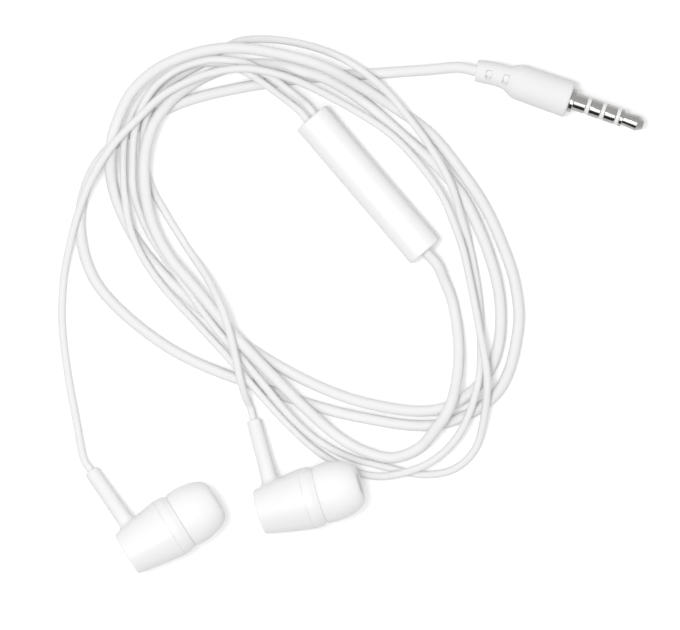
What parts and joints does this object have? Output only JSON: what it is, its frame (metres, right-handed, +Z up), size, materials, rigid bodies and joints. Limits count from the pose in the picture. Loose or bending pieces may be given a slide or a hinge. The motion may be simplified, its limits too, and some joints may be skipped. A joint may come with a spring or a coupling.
{
  "type": "wired earphones",
  "caption": "White wired in-ear earphones with silicone ear tips, an inline remote with microphone, and a round audio plug, lying in loose loops.",
  "frame": {"origin": "on the surface that the earphones lie on, under the middle of the box round both earbuds and the remote", "axes": "+Z up from the surface, +Y across the loops from the earbuds towards the remote, +X from the loops towards the plug"},
  "size_m": [0.1171, 0.1073, 0.0127],
  "materials": {
    "white_plastic": "smooth satin gloss, moulded",
    "insulator_plastic": "smooth, moulded",
    "silicone": "soft satin silicone",
    "white_rubber": "soft satin",
    "cord_jacket": "smooth satin jacket",
    "plated_metal": "polished nickel plating",
    "magnet_steel": "plated steel",
    "bright_steel": "bright sheet steel",
    "copper": "enamelled copper wire",
    "board": "solder-masked board",
    "film": "thin polymer film",
    "grey_plastic": "moulded, matt"
  },
  "bodies": {
    "earphones": {"branch_cord_grommet": "white_rubber", "circuit_board": "board", "left_cable_boot": "white_rubber", "left_cord": "cord_jacket", "left_driver_frame": "grey_plastic", "left_front_shell": "white_plastic", "left_lead_wire_1": "copper", "left_lead_wire_2": "copper", "left_magnet": "magnet_steel", "left_nozzle_mesh": "bright_steel", "left_pole_plate": "magnet_steel", "left_rear_shell": "white_plastic", "left_terminal_board": "board", "left_yoke": "magnet_steel", "main_cord": "cord_jacket", "main_cord_grommet": "white_rubber", "microphone": "bright_steel", "plug_grip": "white_rubber", "plug_insulator_1": "insulator_plastic", "plug_insulator_2": "insulator_plastic", "plug_insulator_3": "insulator_plastic", "plug_ring_1": "plated_metal", "plug_ring_2": "plated_metal", "plug_sleeve": "plated_metal", "plug_tip": "plated_metal", "remote_base": "white_plastic", "remote_cover": "white_plastic", "right_cable_boot": "white_rubber", "right_cord": "cord_jacket", "right_driver_frame": "grey_plastic", "right_front_shell": "white_plastic", "right_lead_wire_1": "copper", "right_lead_wire_2": "copper", "right_magnet": "magnet_steel", "right_nozzle_mesh": "bright_steel", "right_pole_plate": "magnet_steel", "right_rear_shell": "white_plastic", "right_terminal_board": "board", "right_yoke": "magnet_steel", "switch_body": "bright_steel"},
    "left_tip": {"left_ear_tip": "silicone"},
    "right_tip": {"right_ear_tip": "silicone"},
    "left_cone": {"left_diaphragm": "film", "left_voice_coil": "copper"},
    "right_cone": {"right_diaphragm": "film", "right_voice_coil": "copper"},
    "button": {"remote_button": "white_plastic"},
    "plunger": {"switch_plunger": "grey_plastic"}
  },
  "joints": [
    {"name": "left_tip_pull", "type": "slide", "parent": "earphones", "child": "left_tip", "axis": [0.8499, 0.527, 0], "range_m": [0, 0.0046]},
    {"name": "right_tip_pull", "type": "slide", "parent": "earphones", "child": "right_tip", "axis": [0.9541, 0.2772, 0.1132], "range_m": [0, 0.0046]},
    {"name": "left_cone_stroke", "type": "slide", "parent": "earphones", "child": "left_cone", "axis": [0.8499, 0.527, 0], "range_m": [-0.0001, 0.0001], "stiffness_N_per_m": 500},
    {"name": "right_cone_stroke", "type": "slide", "parent": "earphones", "child": "right_cone", "axis": [0.9541, 0.2772, 0.1132], "range_m": [-0.0001, 0.0001], "stiffness_N_per_m": 500},
    {"name": "button_press", "type": "slide", "parent": "earphones", "child": "button", "axis": [0, 0, 1], "range_m": [0, 0.00025], "stiffness_N_per_m": 1000, "springref_m": -0.0005},
    {"name": "plunger_press", "type": "slide", "parent": "earphones", "child": "plunger", "axis": [0, 0, 1], "range_m": [0, 0.00025]}
  ],
  "couplings": [
    {"joint": "plunger_press", "follows": "button_press", "ratio": 1}
  ]
}
